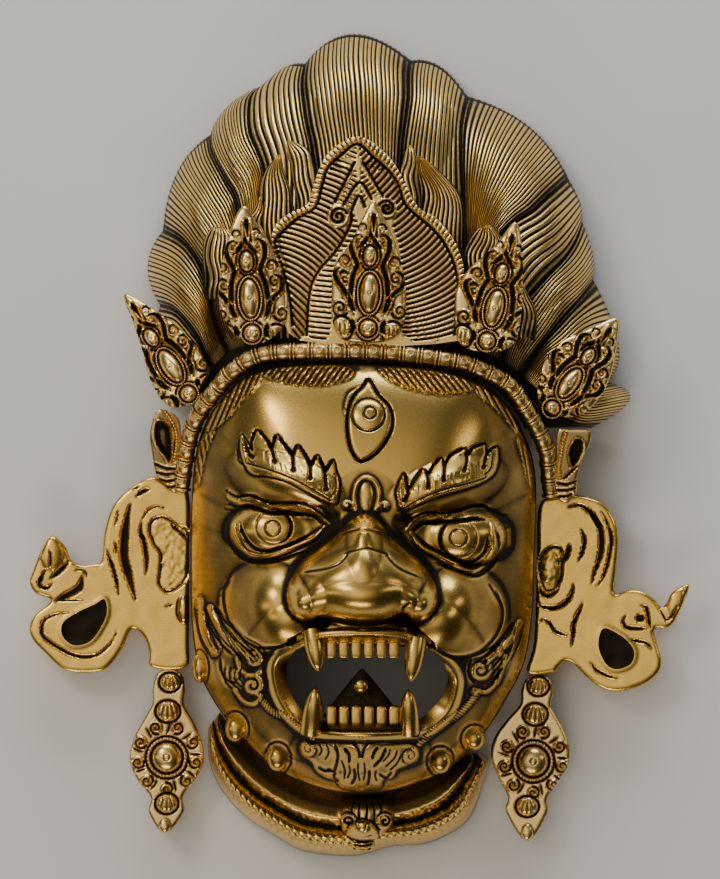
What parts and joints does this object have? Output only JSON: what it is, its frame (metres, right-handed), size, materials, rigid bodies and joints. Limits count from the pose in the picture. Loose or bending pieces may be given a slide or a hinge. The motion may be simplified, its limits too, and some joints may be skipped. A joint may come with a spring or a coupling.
{
  "type": "brass mask",
  "caption": "Hollow cast brass mask of a wrathful three-eyed guardian with fangs, a fan of hair, a beaded diadem with leaves, wide ears and a serpent collar.",
  "frame": {"origin": "middle of the mask's length and width, on the surface that its back rim lies on", "axes": "+X to the right of the picture, +Y up the face towards the tip of the hair, +Z out of the face"},
  "size_m": [0.3295, 0.4109, 0.1261],
  "materials": {
    "face_brass": "polished with dark patina in the recesses",
    "hair_brass": "dark patina with rubbed ridges",
    "ornament_brass": "rubbed relief with dark patina in the recesses",
    "ear_brass": "brushed"
  },
  "bodies": {
    "root": {"face": "face_brass", "hair": "hair_brass", "headband": "ornament_brass", "leaf_centre": "ornament_brass", "leaf_inner_left": "ornament_brass", "leaf_inner_right": "ornament_brass", "leaf_outer_left": "ornament_brass", "leaf_outer_right": "ornament_brass", "side_ornament_left": "ornament_brass", "side_ornament_right": "ornament_brass", "ear_left": "ear_brass", "ear_right": "ear_brass", "pendant_left": "ornament_brass", "pendant_right": "ornament_brass", "serpent": "hair_brass"}
  },
  "joints": []
}
